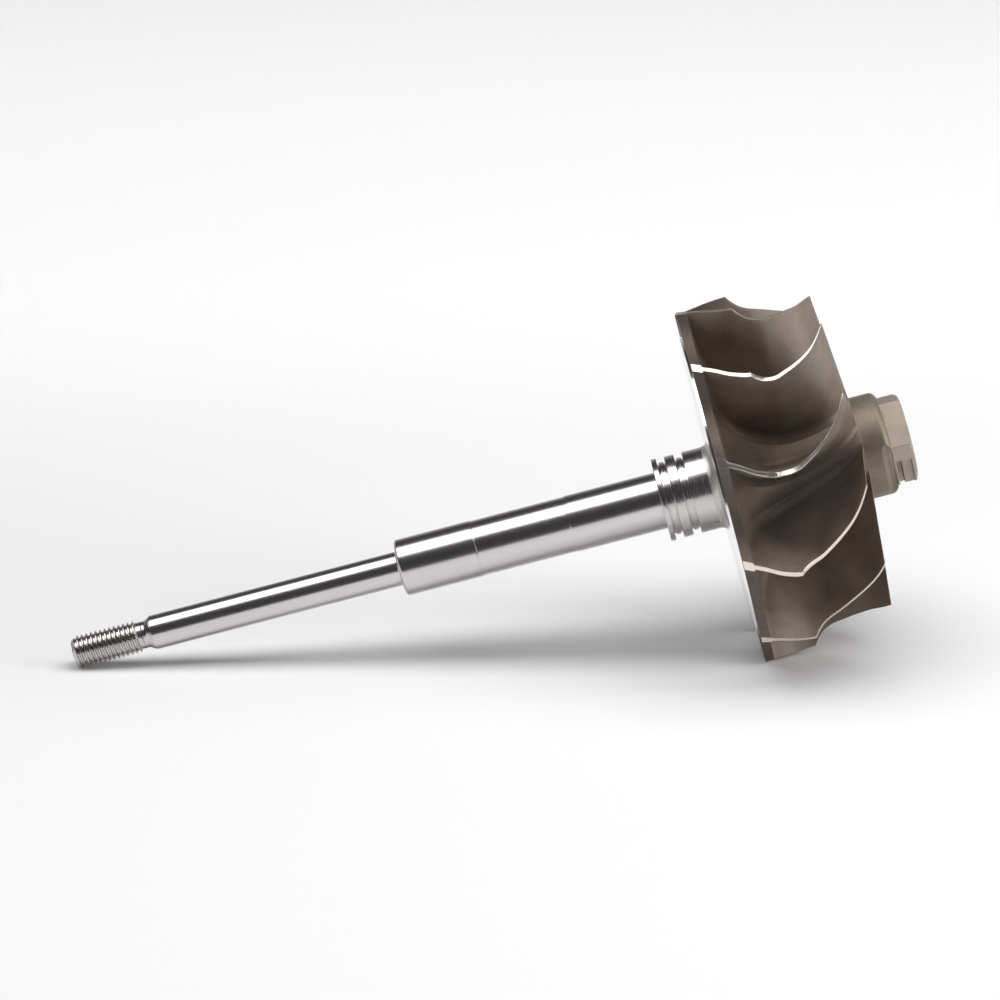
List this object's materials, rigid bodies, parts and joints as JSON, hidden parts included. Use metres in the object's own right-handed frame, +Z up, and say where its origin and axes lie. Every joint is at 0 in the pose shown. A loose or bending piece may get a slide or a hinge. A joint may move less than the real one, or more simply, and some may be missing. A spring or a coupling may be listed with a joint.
{
  "type": "turbocharger turbine wheel with shaft",
  "caption": "Turbocharger turbine rotor: a bladed radial-inflow wheel with hex nose, joined to a ground shaft with seal ring grooves, bearing journals and a threaded compressor end.",
  "frame": {"origin": "on the floor, below the centre of the bounding box, with the rotor lying as in the picture on its threaded end and two blade tips", "axes": "+Z up; +X level, along the rotor's length from the threaded end to the hex nose, with the rotor axis rising 13.56 degrees above it; +Y away from the picture's camera"},
  "size_m": [0.1774, 0.076, 0.0751],
  "materials": {
    "ground_steel": "fine ground steel",
    "turned_steel": "turned steel, satin",
    "cast_alloy": "as-cast nickel alloy, matt brown-grey",
    "machined_alloy": "machined nickel alloy, satin"
  },
  "bodies": {
    "root": {"threaded_end": "turned_steel", "thread_relief": "turned_steel", "compressor_seat": "ground_steel", "bearing_journal_front": "ground_steel", "journal_relief": "ground_steel", "bearing_journal_rear": "ground_steel", "seal_lip": "turned_steel", "ring_groove_front": "turned_steel", "ring_land": "turned_steel", "ring_groove_rear": "turned_steel", "weld_collar": "turned_steel", "back_disc": "cast_alloy", "hub": "cast_alloy", "nose_boss": "machined_alloy", "hex_nose": "machined_alloy", "blade_01": "cast_alloy", "blade_02": "cast_alloy", "blade_03": "cast_alloy", "blade_04": "cast_alloy", "blade_05": "cast_alloy", "blade_06": "cast_alloy", "blade_07": "cast_alloy", "blade_08": "cast_alloy", "blade_09": "cast_alloy", "blade_10": "cast_alloy", "blade_11": "cast_alloy"}
  },
  "joints": []
}
